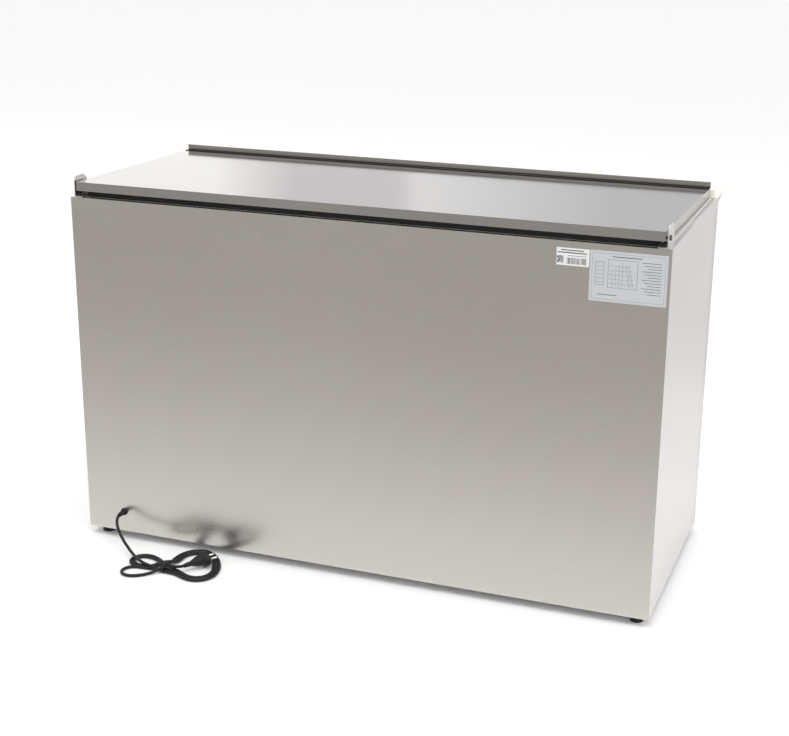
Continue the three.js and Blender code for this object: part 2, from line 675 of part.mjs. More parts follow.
function hingePin(side) {
  const x0 = lidX - 11;
  const x1 = bracketX + hinge.plate + gap;
  const pin = turned([[0, x0], [hinge.pin, x0], [hinge.pin, x1], [hinge.headRadius, x1],
    [hinge.headRadius, x1 + 1.8], [hinge.headRadius - 2, x1 + 3], [0, x1 + 3]], 18)
    .rotateY(Math.PI / 2).translate(0, pivot.y, pivot.z);
  return side > 0 ? pin : made(pin.clone().rotateZ(Math.PI).translate(0, 2 * pivot.y, 0));
}

// The lid: a pressed skin, its foam, a tray-shaped liner, the seal under it and the front rail.
// It is drawn level and then turned about the hinge, so that its front lies closer to the
// rim than its back.

function sloped(geometry) {
  return geometry.translate(0, -pivot.y, -pivot.z).rotateX(lidTilt).translate(0, pivot.y, pivot.z);
}

function lidSkin() {
  const outer = box(-lidX, lidX, lidFront, backY, lidBottom, lidTop);
  const inner = box(-lidX + sheet, lidX - sheet, lidFront + sheet, backY - sheet,
    lidBottom + sheet, lidTop - sheet);
  const mouth = box(-lidX + lid.hem, lidX - lid.hem, lidFront + lid.hem, backY - lid.hem,
    lidBottom - 1, lidBottom + sheet + 1);
  const holes = [-1, 1].map((s) => rod('x', hinge.pin + 0.2, s * lidX - 4, s * lidX + 4,
    [pivot.y, pivot.z]));
  return sloped(made(outer, [], [inner, mouth, ...holes]));
}

// The part of the lid that reaches down into the tank's mouth, shrunk by a distance.
function lidPlug(shrink, top) {
  const in1 = lid.bulgeGap + shrink;
  return box(-tank.x + in1, tank.x - in1, tank.front + in1, tank.back - in1,
    lidBottom - lid.bulge + shrink, top);
}

function lidFoam() {
  const x = lidX - skin;
  const slab = box(-x, x, lidFront + skin, backY - skin, lidBottom + sheet + gap, lidTop - skin);
  const pockets = [-1, 1].map((s) => endBox(s, lidX - 16, lidX + 1, pivot.y - 8, backY, lidBottom, lidTop));
  return sloped(made(slab, [lidPlug(sheet + gap, lidTop - 6)], pockets));
}

function lidLiner() {
  const edge = lid.hem + gap;
  const plate = box(-lidX + edge, lidX - edge, lidFront + edge, backY - edge, lidBottom, lidBottom + sheet);
  const tray = made(plate, [lidPlug(0, lidBottom + sheet)], [lidPlug(sheet, lidBottom + sheet + 1)]);
  return sloped(tray);
}

// The seal: flat on the rim below, and cut off above by the sloping lid.
function lidGasket() {
  const x = lidX - seal.sideInset;
  const y0 = sealFront;
  const y1 = backY - seal.backInset;
  const w = seal.width;
  const z0 = rimZ + gap;
  const z1 = lidBottom + w;
  const ring = box(-x, x, y0, y1, z0, z1);
  const hollow = box(-x + w, x - w, y0 + w, y1 - w, z0 - 1, z1 + 1);
  const above = sloped(box(-x - w, x + w, y0 - w, y1 + w, lidBottom - gap, z1 + 2 * w));
  return made(ring, [], [hollow, above]);
}

function lidFrontRail() {
  const y0 = lidFront + 1;
  const z0 = lidTop + gap;
  const z1 = lidTop + frontRail.height;
  const t = 1.2;
  const outline = [[y0, z0], [y0 + frontRail.foot, z0], [y0 + frontRail.foot, z0 + t], [y0 + t, z0 + t],
    [y0 + t, z1 - t], [y0 + frontRail.top, z1 - t], [y0 + frontRail.top, z1], [y0, z1]];
  return sloped(made(alongX(outline, -lidX, lidX)));
}

// A storage basket hung on the tank's rim by a hooked edge at each end.
function wireBasket(x0) {
  const x1 = x0 + basket.length;
  const w = basket.wall;
  const z1 = rimZ + gap + basket.hookThick;
  const z0 = z1 - basket.depth - w;
  const y0 = tank.front + w;
  const y1 = tank.back - w;
  const lowRim = lidBottom - frontDrop - lid.bulge - basket.lidClearance;
  const block = box(x0, x1, y0, y1, z0, z1);
  const hook = box(x0, x1, tank.front - basket.hook, tank.back + basket.hook,
    z1 - basket.hookThick, z1);
  const hollow = box(x0 + w, x1 - w, y0 + w, y1 - w, z0 + w, z1 + 1);
  const over = box(x0 - 1, x1 + 1, y0 + w, y1 - w, lowRim, z1 + 1);
  return made(block, [hook], [hollow, over]);
}

// The work board along the front, and the two brackets that carry it.

function workBoard() {
  const shape = roundedRectangle(-halfWidth, halfWidth, boardFront, boardBack, board.corner);
  const holes = [-1, 1].map((s) => rod('z', bracket.pegRadius + 0.4, boardZ - 1,
    boardZ + bracket.pegHeight + 1, [s * pegX, pegY], 16));
  return made(alongZ(shape, boardZ, boardZ + board.thickness), [], holes);
}

function boardBracket(side) {
  const x1 = halfWidth - bracket.inset;
  const x0 = x1 - bracket.thick;
  const y1 = frontY - gap;
  const y0 = frontY - bracket.reach;
  const z1 = rimZ;
  const web = alongX([[y0, z1], [y0, z1 - 8], [y1 - 20, z1 - bracket.drop], [y1, z1 - bracket.drop],
    [y1, z1]], x0, x1);
  const shelf = box(x1 - bracket.foot, x1, y0, y1, z1 - bracket.thick, z1);
  const tab = box(x1 - bracket.foot, x1, y1 - bracket.thick, y1, z1 - bracket.drop, z1);
  const peg = rod('z', bracket.pegRadius, z1 - 1, z1 + bracket.pegHeight, [pegX, pegY], 16);
  const body = made(web, [shelf, tab, peg]);
  return side > 0 ? body : mirrored(body);
}

// The mains lead: strain relief, free length, the tied bundle on the floor, tie and plug.

const leadPoints = [
  [glandX, leadStart, glandZ], [glandX - 0.2, leadStart + 6, glandZ - 0.6],
  [glandX - 3, leadStart + 15, glandZ - 8.5], [glandX - 11, leadStart + 24, glandZ - 20],
  [glandX - 22, leadStart + 32, glandZ - 31], [glandX - 40, leadStart + 45, glandZ - 44],
  [glandX - 59.5, leadStart + 59, glandZ - 54.5], [glandX - 77, leadStart + 71.3, glandZ - 62.5],
  [glandX - 91, leadStart + 80.8, glandZ - 64.5],
];

function cableGland() {
  const { radius, flange: rim, length, tip } = gland;
  return turned([[0, -6], [radius - 2, -6], [radius - 2, gap], [radius, gap], [radius, rim],
    [radius - 2.5, rim + 1], [tip, rim + length], [0, rim + length]], 24)
    .rotateX(-Math.PI / 2).translate(glandX, backY, glandZ);
}

function powerCord() {
  return tube(leadPoints, cordRadius, 18, 8);
}

// The bundle's outline on the floor, about its pinched middle: two short loops towards the lead
// and one wide loop, in which the plug lies.
const bundle = {
  x: glandX - 180, y: leadStart + 98, height: 15,
  outer: [[94, 17], [95, -1], [91.7, -11.6], [84.3, -22.3], [64, -25], [34, -19], [12, -14], [-4, -41],
    [-10, -91], [-22, -113], [-44, -117], [-72, -105], [-96, -79], [-110, -41], [-116, -3],
    [-108, 21], [-88, 33], [-56, 29], [-26, 21], [2, 17], [24, 41], [46, 59], [68, 59], [78, 41]],
  inner: [[-14, -13], [-20, -41], [-22, -87], [-36, -99], [-60, -91], [-84, -67], [-96, -35],
    [-100, -1], [-88, 15], [-60, 13], [-30, 3]],
};

function bundleSlab(list, z0, z1) {
  const points = list.map(([x, y]) => new THREE.Vector2(bundle.x + x, bundle.y + y));
  return alongZ(new THREE.Shape(points), z0, z1);
}

function cordBundle() {
  return made(bundleSlab(bundle.outer, gap, gap + bundle.height), [],
    [bundleSlab(bundle.inner, -1, bundle.height + 1)]);
}

// The strap that holds the bundle at its pinch, as a bridge over it.
function cordTie() {
  const x0 = bundle.x + 4;
  const y0 = bundle.y - 32;
  const y1 = bundle.y + 31;
  const top = gap + bundle.height + gap;
  const over = box(x0, x0 + 8, y0, y1, gap, top + 2);
  return made(over, [], [box(x0 - 1, x0 + 9, y0 + 2, y1 - 2, 0, top)]);
}

// A moulded mains plug lying on its rim, its two pins level and its tail towards the pinch.
const plug = { tail: [-38, -12], turn: 0.67, lift: 0.1, head: 18.5, tailZ: 14.2 };

function powerPlug() {
  const body = turned([[0, 0], [4.4, 0], [5.6, 14], [10.5, 20], [13, 30], [12.5, 40], [plug.head, 46],
    [plug.head, 59], [plug.head - 1.5, 60.5], [0, 60.5]], 24);
  const pins = [-1, 1].map((s) => rod('z', 2.4, 60, 79, [s * 9.5, 0], 12));
  return made(body, pins).rotateX(Math.PI / 2 - plug.lift).rotateZ(-plug.turn)
    .translate(bundle.x + plug.tail[0], bundle.y + plug.tail[1], plug.tailZ);
}

// ---- put together -------------------------------------------------------------------------

place('back_panel', backPanel(), 'stainless');
place('left_side_panel', sidePanel(-1), 'stainless');
place('right_side_panel', sidePanel(1), 'stainless');
place('front_panel', frontPanel(), 'stainless');
place('front_rail', frontRailStrip(), 'stainless');
place('base_pan', basePan(), 'galvanised');
place('tank_liner', tankLiner(), 'stainless');
place('top_rim', topRim(), 'greyPlastic');
place('foam_insulation', foamInsulation(), 'foam');
place('evaporator_coil', evaporatorCoil(), 'copper');
place('machine_bay_lining', bayLining(), 'galvanised');
place('front_grille', frontGrille(), 'blackPlastic');
place('thermostat_body', thermostatBody(), 'whitePlastic');
place('thermostat_knob', thermostatKnob(), 'blackPlastic');
place('switch_housing', switchHousing(), 'blackPlastic');
place('power_rocker', powerRocker(), 'greenPlastic');
place('compressor', compressorShell(), 'blackPaint');
place('terminal_cover', terminalCover(), 'blackPlastic');
mountPlaces().forEach((p, i) => place(`compressor_mount_${i + 1}`, compressorMount(p), 'blackRubber'));
place('condenser', condenser(), 'blackPaint');
place('fan_shroud', fanShroud(), 'galvanised');
place('fan_motor', fanMotor(), 'blackPaint');
place('fan_blades', fanBlades(), 'blackPlastic');
place('suction_tube', suctionTube(), 'copper');
place('discharge_tube', dischargeTube(), 'copper');
place('filter_drier', filterDrier(), 'copper');
place('liquid_tube', liquidTube(), 'copper');
place('capillary_tube', capillaryTube(), 'copper');
place('drain_pipe', drainPipe(), 'greyPlastic');
place('drain_plug', drainPlug(), 'greyPlastic');

const corners = { front_left: [-footX, footY[0]], front_right: [footX, footY[0]],
  back_left: [-footX, footY[1]], back_right: [footX, footY[1]] };
for (const [corner, p] of Object.entries(corners)) {
  place(`levelling_foot_${corner}`, levellingFoot(...p), 'blackRubber');
}

for (const [word, side] of [['left', -1], ['right', 1]]) {
  place(`${word}_hinge_bracket`, hingeBracket(side), 'zinc');
  place(`${word}_hinge_pin`, hingePin(side), 'zinc');
  screwPlaces().forEach((p, i) => place(`${word}_hinge_screw_${i + 1}`, hingeScrew(side, p), 'zinc'));
  place(`${word}_board_bracket`, boardBracket(side), 'stainless');
}

place('lid_skin', lidSkin(), 'stainless');
place('lid_foam', lidFoam(), 'foam');
place('lid_liner', lidLiner(), 'stainless');
place('lid_gasket', lidGasket(), 'blackRubber');
place('lid_front_rail', lidFrontRail(), 'stainless');
place('left_basket', wireBasket(-tank.x + basket.endGap), 'wire');
place('right_basket', wireBasket(tank.x - basket.endGap - basket.length), 'wire');
place('work_board', workBoard(), 'whitePlastic');

place('cable_gland', cableGland(), 'blackRubber');
place('power_cord', powerCord(), 'blackRubber');
place('power_cord_bundle', cordBundle(), 'blackRubber');
place('cord_tie', cordTie(), 'blackPlastic');
place('power_plug', powerPlug(), 'blackPlastic');

export default freezer;
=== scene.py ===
"""Visual model of a commercial chest freezer: stainless cabinet, hinged lid, insulated tank with
wire baskets, machine bay, work board and mains lead. Metres, +Z up, front towards -Y."""
import json
import math

import bmesh
import bpy
import numpy as np
from mathutils import Matrix, Vector


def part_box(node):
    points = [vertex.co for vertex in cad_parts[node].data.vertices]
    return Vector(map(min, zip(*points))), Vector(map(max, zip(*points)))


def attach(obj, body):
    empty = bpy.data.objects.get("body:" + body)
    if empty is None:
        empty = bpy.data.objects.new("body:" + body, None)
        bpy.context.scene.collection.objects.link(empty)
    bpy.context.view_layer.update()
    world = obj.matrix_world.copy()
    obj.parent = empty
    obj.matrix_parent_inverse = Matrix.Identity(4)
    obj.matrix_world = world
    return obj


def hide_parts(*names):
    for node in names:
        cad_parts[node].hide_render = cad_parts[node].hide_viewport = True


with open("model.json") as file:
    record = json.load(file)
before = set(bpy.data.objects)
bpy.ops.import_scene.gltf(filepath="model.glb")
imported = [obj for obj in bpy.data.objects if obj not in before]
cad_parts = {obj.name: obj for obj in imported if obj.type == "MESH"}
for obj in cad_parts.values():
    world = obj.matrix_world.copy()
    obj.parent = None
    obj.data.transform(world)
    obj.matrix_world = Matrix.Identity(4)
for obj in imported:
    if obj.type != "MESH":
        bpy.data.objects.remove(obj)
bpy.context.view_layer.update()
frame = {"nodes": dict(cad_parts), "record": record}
MM = 0.001


# ---- Camera ----
# A long lens behind the cabinet's left corner, at chest height, looking down a little.
# Distances are in heights of the back panel, which is the largest face that shows.
back_low, back_high = (np.array(p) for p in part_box("back_panel"))
panel_height = back_high[2] - back_low[2]
camera_data = bpy.data.cameras.new("camera")
camera_data.lens = 68.6
camera_data.sensor_width = 36.0
camera = bpy.data.objects.new("camera", camera_data)
bpy.context.scene.collection.objects.link(camera)
camera.location = (-1.463 * panel_height, back_high[1] + 3.571 * panel_height,
                   back_low[2] + 1.85 * panel_height)
yaw, pitch, roll = math.radians(20.52), math.radians(17.98), math.radians(0.39)
sight = Vector((math.sin(yaw) * math.cos(pitch), -math.cos(yaw) * math.cos(pitch), -math.sin(pitch)))
camera.rotation_mode = "QUATERNION"
camera.rotation_quaternion = sight.to_track_quat("-Z", "Y") @ Matrix.Rotation(roll, 3, "Z").to_quaternion()
bpy.context.scene.camera = camera


# ---- Studio ----
# A pale floor, an even white surround and two soft lamps. Three cards show only in reflections:
# one lies behind the cabinet, one lies ahead of it and one stands further off in front.
class Sock:
    """A shader output used like a number: each operator adds one Math node."""

    def __init__(self, tree, socket):
        self.tree, self.socket = tree, socket

    def _maths(self, operation, *values):
        node = self.tree.nodes.new("ShaderNodeMath")
        node.operation = operation
        for slot_in, value in zip(node.inputs, values):
            if isinstance(value, Sock):
                self.tree.links.new(value.socket, slot_in)
            else:
                slot_in.default_value = value
        return Sock(self.tree, node.outputs[0])

    def __add__(self, other):
        return self._maths("ADD", self, other)

    def __sub__(self, other):
        return self._maths("SUBTRACT", self, other)

    def __mul__(self, other):
        return self._maths("MULTIPLY", self, other)

    def __rsub__(self, other):
        return self._maths("SUBTRACT", other, self)

    __radd__, __rmul__ = __add__, __mul__

    def __lt__(self, other):
        return self._maths("LESS_THAN", self, other)

    def function(self, operation, *values):
        """Any other Math operation, such as SINE or FRACT."""
        return self._maths(operation, self, *values)


class Finish:
    """One material: its Principled shader and the nodes that feed it."""

    def __init__(self, name, **sockets):
        self.material = bpy.data.materials.new(name)
        self.material.use_nodes = True
        self.tree = self.material.node_tree
        self.shader = self.tree.nodes["Principled BSDF"]
        for socket, value in sockets.items():
            self.shader.inputs[socket.replace("_", " ")].default_value = value

    def node(self, kind, output=0, **sockets):
        """Adds a node, sets its sockets, and gives one of its outputs."""
        node = self.tree.nodes.new(kind)
        for key, value in sockets.items():
            target = node.inputs[key]
            if isinstance(value, Sock):
                self.tree.links.new(value.socket, target)
            else:
                target.default_value = value
        return Sock(self.tree, node.outputs[output])

    def place(self, scale=(1, 1, 1)):
        """Object coordinates, stretched."""
        where = self.node("ShaderNodeTexCoord", output="Object")
        return self.node("ShaderNodeMapping", Vector=where, Scale=scale)

    def noise(self, size, detail=3, scale=(1, 1, 1), rough=0.5):
        """Noise between 0 and 1 with features of that size in metres."""
        return self.node("ShaderNodeTexNoise", Vector=self.place(scale), Scale=1.0 / size,
                         Detail=detail, Roughness=rough)

    def axis(self, index):
        """One object coordinate as a number, in metres."""
        return self.node("ShaderNodeSeparateXYZ", output=index,
                         Vector=self.node("ShaderNodeTexCoord", output="Object"))

    def mix(self, factor, a, b):
        """A colour between two colours."""
        node = self.tree.nodes.new("ShaderNodeMix")
        node.data_type = "RGBA"
        for index, value in ((0, factor), (6, a), (7, b)):
            if isinstance(value, Sock):
                self.tree.links.new(value.socket, node.inputs[index])
            else:
                node.inputs[index].default_value = value
        return Sock(self.tree, node.outputs[2])

    def feed(self, socket, value):
        """Links a value into one of the shader's sockets."""
        self.tree.links.new(value.socket, self.shader.inputs[socket])
        return self

    def bump(self, height, distance):
        """Bumps the surface by a height between 0 and 1 that stands for a distance in metres."""
        return self.feed("Normal", self.node("ShaderNodeBump", Height=height, Distance=distance,
                                             Strength=1.0))


floor_finish = Finish("studio_floor", Base_Color=(0.93, 0.93, 0.93, 1), Roughness=0.9)
speckle = floor_finish.noise(0.6, detail=2)
floor_finish.feed("Base Color", floor_finish.mix(
    speckle, (0.925, 0.925, 0.925, 1), (0.935, 0.935, 0.935, 1)))


def card(name, corners, material):
    """One flat four-cornered sheet through the given corners."""
    mesh = bpy.data.meshes.new(name)
    mesh.from_pydata(corners, [], [(0, 1, 2, 3)])
    mesh.materials.append(material)
    thing = bpy.data.objects.new(name, mesh)
    bpy.context.scene.collection.objects.link(thing)
    return thing


reach = 40.0
card("studio_floor", [(-reach, -reach, 0), (reach, -reach, 0), (reach, reach, 0), (-reach, reach, 0)],
     floor_finish.material)


def glow_card(name, corners, colour):
    """A card that only mirrors and other shiny surfaces see; colour(finish) gives its glow."""
    finish = Finish(name, Base_Color=(0, 0, 0, 1), Roughness=1.0, Emission_Strength=1.0)
    finish.feed("Emission Color", colour(finish))
    thing = card(name, corners, finish.material)
    for ray in ("camera", "diffuse", "shadow", "transmission", "volume_scatter"):
        setattr(thing, "visible_" + ray, False)
    return thing


def behind_glow(finish):
    """Bright by the cabinet and about half as bright further along +Y, with one paler ray across it."""
    away = (finish.axis(1) - 0.4).function("MAXIMUM", 0.0) * (1 / 1.05)
    near = (away.function("POWER", 1.3) * -1.0).function("EXPONENT")
    ground = finish.mix(near, (0.40, 0.375, 0.35, 1), (0.95, 0.93, 0.905, 1))
    aside = (finish.axis(0) - 0.095 - (finish.axis(1) - 0.35) * 0.443) * (1 / 0.16)
    ray = (aside * aside * -1.0).function("EXPONENT") * 0.14
    return finish.mix(ray, ground, (0.86, 0.845, 0.83, 1))


def ahead_glow(finish):
    """White up to 1.2 m in front of the cabinet, then a little grey."""
    away = (finish.axis(1) * -1.0 - 1.15).function("MAXIMUM", 0.0).function("MINIMUM", 0.35) * (1 / 0.35)
    return finish.mix(away, (1.06, 1.05, 1.045, 1), (0.80, 0.775, 0.78, 1))


def window_glow(finish):
    """Along +X: grey, then white, then a dimmer strip, then a soft bright window."""
    def share(start, length):
        """How far X is through a stretch, from 0 to 1."""
        return (finish.axis(0) - start).function("MAXIMUM", 0.0).function("MINIMUM", length) * (1 / length)

    white = finish.mix(share(0.8, 1.25), (0.70, 0.705, 0.72, 1), (1.0, 0.995, 0.99, 1))
    strip = finish.mix(share(2.12, 0.1), white, (0.80, 0.79, 0.79, 1))
    return finish.mix(share(3.0, 0.6), strip, (1.25, 1.24, 1.22, 1))


low_z = 1.5 * MM
glow_card("behind_card", [(-6, 0.39, low_z), (6, 0.39, low_z), (6, 9, low_z), (-6, 9, low_z)],
          behind_glow)
glow_card("ahead_card", [(-6, -9, low_z), (-0.75, -9, low_z), (-0.75, -0.5, low_z), (-6, -0.5, low_z)],
          ahead_glow)
glow_card("window_card", [(-1.5, -6, 0.5), (9, -6, 0.5), (9, -6, 5), (-1.5, -6, 5)], window_glow)

world = bpy.data.worlds.new("surround")
world.use_nodes = True
world.node_tree.nodes["Background"].inputs["Color"].default_value = (1.0, 0.995, 0.99, 1)
world.node_tree.nodes["Background"].inputs["Strength"].default_value = 1.02
bpy.context.scene.world = world


def lamp(name, place, aim, size, watts):
    """A square soft lamp at a place, turned to face a point."""
    data = bpy.data.lights.new(name, "AREA")
    data.size, data.energy = size, watts
    thing = bpy.data.objects.new(name, data)
    thing.location = place
    thing.rotation_mode = "QUATERNION"
    thing.rotation_quaternion = (Vector(aim) - Vector(place)).to_track_quat("-Z", "Y")
    bpy.context.scene.collection.objects.link(thing)
    return thing


lamp("lamp_over", (0, 0.6, 3.6), (0, 0.1, 0.4), 3.5, 60)
lamp("lamp_side", (-3.6, 1.2, 2.2), (0, 0, 0.5), 2.0, 30)
bpy.context.scene.view_settings.view_transform = "Standard"


# ---- Mains lead ----
# A round black rubber lead, 7 mm thick, moulded into a tapered relief at the panel and a plug at
# its end. It drops to the floor and lies in a tied figure of eight.
gland_low, gland_high = (np.array(p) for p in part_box("cable_gland"))
lead_radius = 3.5 * MM
gland_x = (gland_low[0] + gland_high[0]) / 2
gland_z = (gland_low[2] + gland_high[2]) / 2
lead_y = gland_high[1] + 0.6 * MM
free_steps = np.array([
    (0, 0, 0), (-0.2, 7, -0.6), (-3, 16, -6), (-11, 26, -18), (-23, 35, -31), (-40, 46, -43),
    (-59.5, 59, -52), (-77, 71.3, -57), (-91, 80.8, -59)]) * MM
pinch = np.array((gland_x - 180 * MM, lead_y + 98 * MM, 0))


def through(points, spacing):
    """Points at even spacing along the centripetal Catmull-Rom curve through the given points."""
    p = np.vstack([2 * points[0] - points[1], points, 2 * points[-1] - points[-2]])
    knots = np.concatenate([[0], np.cumsum(np.sqrt(np.linalg.norm(np.diff(p, axis=0), axis=1)))])
    line = []
    for i in range(1, len(p) - 2):
        t = np.linspace(knots[i], knots[i + 1], 24, endpoint=False)[:, None]
        k = knots[i - 1:i + 3]
        a = [(k[j + 1] - t) / (k[j + 1] - k[j]) * p[i - 1 + j] + (t - k[j]) / (k[j + 1] - k[j]) * p[i + j]
             for j in range(3)]
        b = [(k[j + 2] - t) / (k[j + 2] - k[j]) * a[j] + (t - k[j]) / (k[j + 2] - k[j]) * a[j + 1]
             for j in range(2)]
        line.append((k[2] - t) / (k[2] - k[1]) * b[0] + (t - k[1]) / (k[2] - k[1]) * b[1])
    line = np.vstack(line + [p[-2:-1]])
    along = np.concatenate([[0], np.cumsum(np.linalg.norm(np.diff(line, axis=0), axis=1))])
    at = np.linspace(0, along[-1], int(along[-1] / spacing) + 1)
    return np.stack([np.interp(at, along, line[:, k]) for k in range(3)], axis=1)


def softened(line, reach):
    """The line with each point moved to the mean of its neighbours, the ends held."""
    padded_line = np.pad(line, ((reach, reach), (0, 0)), mode="reflect", reflect_type="odd")
    kernel = np.hanning(2 * reach + 3)[1:-1]
    kernel /= kernel.sum()
    return np.stack([np.convolve(padded_line[:, k], kernel, mode="valid") for k in range(3)], axis=1)


# The bundle, in millimetres about the pinch: one wide loop and two lobes. Its turns lie a pitch apart
# on the floor, and the lead's middle rises from one height to the other where they cross.
lying, crossing = 4.2, 11.3
wide_loop = np.array([
    (-32, 15), (-58, 27), (-84, 29), (-107, 14), (-116, -12), (-111, -44), (-95, -77), (-71, -105),
    (-42, -121), (-10, -112), (8, -82), (10, -44)], float)
far_lobe = np.array([
    (24, 28), (42, 48), (58, 58), (76, 60), (91, 50), (95, 32), (84, 16), (62, 11), (34, 9)], float)
near_lobe = np.array([
    (38, 4), (66, 8.5), (88, 4.5), (102, -11), (102, -33), (88, -48.5), (66, -52), (36, -38)], float)
wide_middle, near_middle = np.array((-52.0, -46.0)), np.array((72.0, -22.0))
strand_pitch = 7.3


def turn(loop, middle, inset, height):
    """A loop's points drawn in towards its middle by a distance, at one height."""
    out = loop - middle
    size = np.linalg.norm(out, axis=1, keepdims=True)
    return np.column_stack([middle + out * (1 - inset / size), np.full(len(loop), height)])


bundle_steps = np.vstack([
    [(60, 2, crossing), (34, 8, 9.5), (6, 12, lying + 1)],
    turn(wide_loop, wide_middle, 0, lying), [(0, -8, crossing + 1), (8, 10, crossing)],
    turn(far_lobe, near_middle, 0, lying), [(6, 0, lying)],
    turn(wide_loop, wide_middle, strand_pitch, lying), [(5, -23, crossing + 1), (17, -7, crossing)],
    turn(near_lobe, near_middle, 0, lying), [(8, -18, lying)],
    turn(wide_loop, wide_middle, 2 * strand_pitch, lying), [(8, -26, crossing + 1), (24, -12, crossing)],
    turn(near_lobe, near_middle, strand_pitch, lying),
    [(16, -18, crossing), (0, -5, 12.6), (-20, -1.5, 13.4)],
]) * MM
plug_tail = pinch + np.array((-38, -12, 14.2)) * MM
plug_turn, plug_lift = 0.67, 0.1
plug_way = np.array((
    -math.sin(plug_turn) * math.cos(plug_lift), -math.cos(plug_turn) * math.cos(plug_lift),
    math.sin(plug_lift)))
lead_points = np.vstack([
    np.array((gland_x, lead_y, gland_z)) + free_steps, pinch + bundle_steps,
    plug_tail - plug_way * 5 * MM, plug_tail - plug_way * 0.4 * MM])
lead_line = softened(through(lead_points, 2.0 * MM), 11)


def new_piece(name, verts, faces, finish, body, slot, smooth=True):
    """A mesh object from arrays, which rides on a body and takes the finish's material; the slot argument is
    not used.
    """
    mesh = bpy.data.meshes.new(name)
    mesh.from_pydata(np.asarray(verts, float).tolist(), [], [list(map(int, f)) for f in faces])
    mesh.materials.append(finish.material)
    mesh.polygons.foreach_set("use_smooth", np.full(len(mesh.polygons), smooth))
    mesh.update()
    thing = bpy.data.objects.new(name, mesh)
    bpy.context.scene.collection.objects.link(thing)
    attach(thing, body)
    return thing


def grid_faces(rows, columns):
    """Quads between neighbouring rows of a grid whose columns close on themselves."""
    i, j = np.meshgrid(np.arange(rows - 1), np.arange(columns), indexing="ij")
    i, j = i.ravel(), j.ravel()
    k = (j + 1) % columns
    return np.stack([i * columns + j, i * columns + k, (i + 1) * columns + k, (i + 1) * columns + j], axis=1)


def swept(line, radii, sides):
    """A round tube: circles of each radius across a line, turned as little as possible along it."""
    way = np.gradient(line, axis=0)
    way /= np.linalg.norm(way, axis=1, keepdims=True)
    side = np.cross(way[0], (0.0, 0.0, 1.0) if abs(way[0][2]) < 0.9 else (1.0, 0.0, 0.0))
    sides_out = []
    for w in way:
        side = side - w * (side @ w)
        side /= np.linalg.norm(side)
        sides_out.append(side)
    across = np.array(sides_out)
    upward = np.cross(way, across)
    angle = np.linspace(0, 2 * np.pi, sides, endpoint=False)
    ring = across[:, None] * np.cos(angle)[None, :, None] + upward[:, None] * np.sin(angle)[None, :, None]
    verts = (line[:, None] + ring * np.asarray(radii)[:, None, None]).reshape(-1, 3)
    n = len(line)
    faces = grid_faces(n, sides).tolist()
    faces += [list(range(sides))[::-1], list(range((n - 1) * sides, n * sides))]
    return verts, faces


rubber = Finish("lead_rubber", Base_Color=(0.008, 0.008, 0.009, 1), Roughness=0.42, Specular_IOR_Level=0.3)
rubber_grain = rubber.noise(0.0012, detail=4)
rubber.feed("Roughness", 0.36 + rubber_grain * 0.16).bump(rubber_grain, 0.00003)
rubber.feed("Base Color", rubber.mix(rubber.noise(0.02), (0.006, 0.006, 0.007, 1), (0.012, 0.012, 0.013, 1)))

verts, faces = swept(lead_line, np.full(len(lead_line), lead_radius), 14)
mains_lead = new_piece("mains_lead", verts, faces, rubber, "cabinet", "black_rubber")
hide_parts("power_cord", "power_cord_bundle")


def turned(profile, sides, place=(0, 0, 0), turns=None):
    """A lathe shape: [radius, height] pairs spun about Z, then turned and moved into place."""
    profile = np.array(profile, float) * MM
    angle = np.linspace(0, 2 * np.pi, sides, endpoint=False)
    verts = np.stack([profile[:, :1] * np.cos(angle), profile[:, :1] * np.sin(angle),
                      np.repeat(profile[:, 1:], sides, axis=1)], axis=-1).reshape(-1, 3)
    faces = grid_faces(len(profile), sides).tolist()
    faces += [list(range(sides))[::-1], list(range((len(profile) - 1) * sides, len(profile) * sides))]
    if turns is not None:
        verts = verts @ np.array(turns.to_3x3()).T
    return verts + np.asarray(place, float), faces


def joined(*shapes):
    """Several (verts, faces) pairs as one."""
    verts, faces, count = [], [], 0
    for v, f in shapes:
        verts.append(v)
        faces += [[i + count for i in face] for face in f]
        count += len(v)
    return np.vstack(verts), faces


# The plug: a moulded grip with finger ribs, a round face and two pins.
moulded = Finish("moulded_black", Base_Color=(0.009, 0.009, 0.01, 1), Roughness=0.48, Specular_IOR_Level=0.3)
moulded_grain = moulded.noise(0.0008, detail=3)
moulded.feed("Roughness", 0.42 + moulded_grain * 0.18).bump(moulded_grain, 0.00004)
steel_pin = Finish("plated_pin", Base_Color=(0.72, 0.71, 0.69, 1), Metallic=1.0, Roughness=0.25)
steel_pin.feed("Roughness", 0.18 + steel_pin.noise(0.002) * 0.2)
neck_s = np.linspace(0, 1, 60)
neck = 4.4 + 1.2 * neck_s + 0.35 * (np.sin(neck_s * 60) > 0) * (neck_s < 0.9)
grip_s = np.linspace(0, 1, 44)[1:]
finger_ribs = 0.45 * np.cos(grip_s * 50) * (grip_s > 0.45) * (grip_s < 0.9)
grip = 5.6 + 7.6 * np.sin(grip_s * np.pi / 2) ** 1.4 + finger_ribs
neck_long, grip_long = 14, 28
plug_profile = [(3.8, 0)] + list(zip(neck, neck_long * neck_s))
plug_profile += list(zip(grip, neck_long + grip_long * grip_s))
plug_profile += [(15, 44), (17.6, 46), (18.5, 48), (18.5, 58.5), (17.8, 60), (16.5, 60.5),
                 (15.8, 60.2), (15.4, 59.4)]
plug_turns = Matrix.Rotation(-plug_turn, 4, "Z") @ Matrix.Rotation(math.pi / 2 - plug_lift, 4, "X")
plug_body = new_piece("mains_plug", *turned(plug_profile, 40, plug_tail, plug_turns), moulded, "cabinet",
                      "black_plastic")
pin_shapes = []
pin_offset = 9.5 * MM
